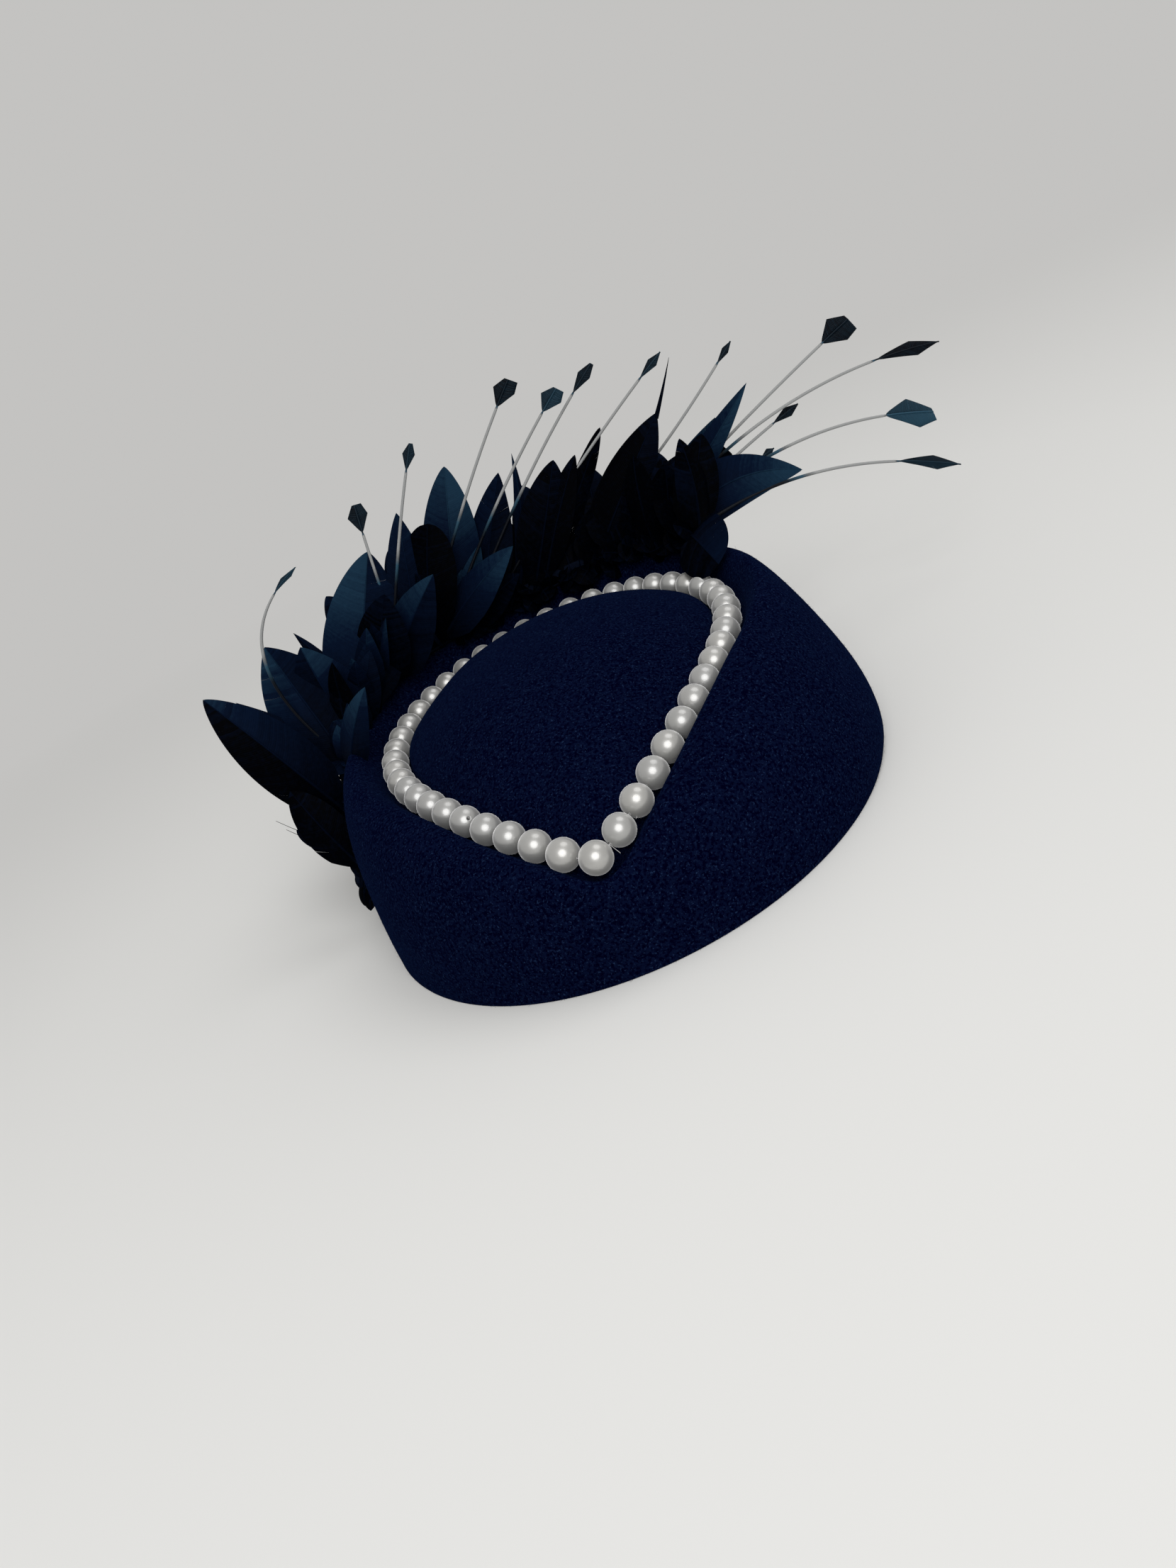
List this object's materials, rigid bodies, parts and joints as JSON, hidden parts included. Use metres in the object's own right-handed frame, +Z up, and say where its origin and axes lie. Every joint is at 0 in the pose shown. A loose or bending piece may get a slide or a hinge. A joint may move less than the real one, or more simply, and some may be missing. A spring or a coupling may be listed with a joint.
{
  "type": "fascinator hat",
  "caption": "Small oval felt percher hat with a raised teardrop dome, a pearl string in the groove round it, and a crescent of trimmed feathers and stripped quills.",
  "frame": {"origin": "middle of the whole hat's box, on the surface the rim stands on", "axes": "+Z up from the rim's plane, -Y towards the point of the teardrop at the front, +X to the wearer's left, where the quills sweep"},
  "size_m": [0.309, 0.2398, 0.1482],
  "materials": {
    "felt": "brushed wool felt",
    "pearl": "pearl lustre",
    "feather": "soft barbs",
    "quill": "stripped shaft",
    "elastic": "braided cord"
  },
  "bodies": {
    "root": {"felt_crown": "felt", "pearl_string": "pearl", "feather_mount": "feather", "quill_01": "quill", "quill_02": "quill", "quill_03": "quill", "quill_04": "quill", "quill_05": "quill", "quill_06": "quill", "quill_07": "quill", "quill_08": "quill", "quill_09": "quill", "quill_10": "quill", "quill_11": "quill", "quill_12": "quill", "quill_13": "quill", "quill_14": "quill", "head_elastic": "elastic"}
  },
  "joints": []
}
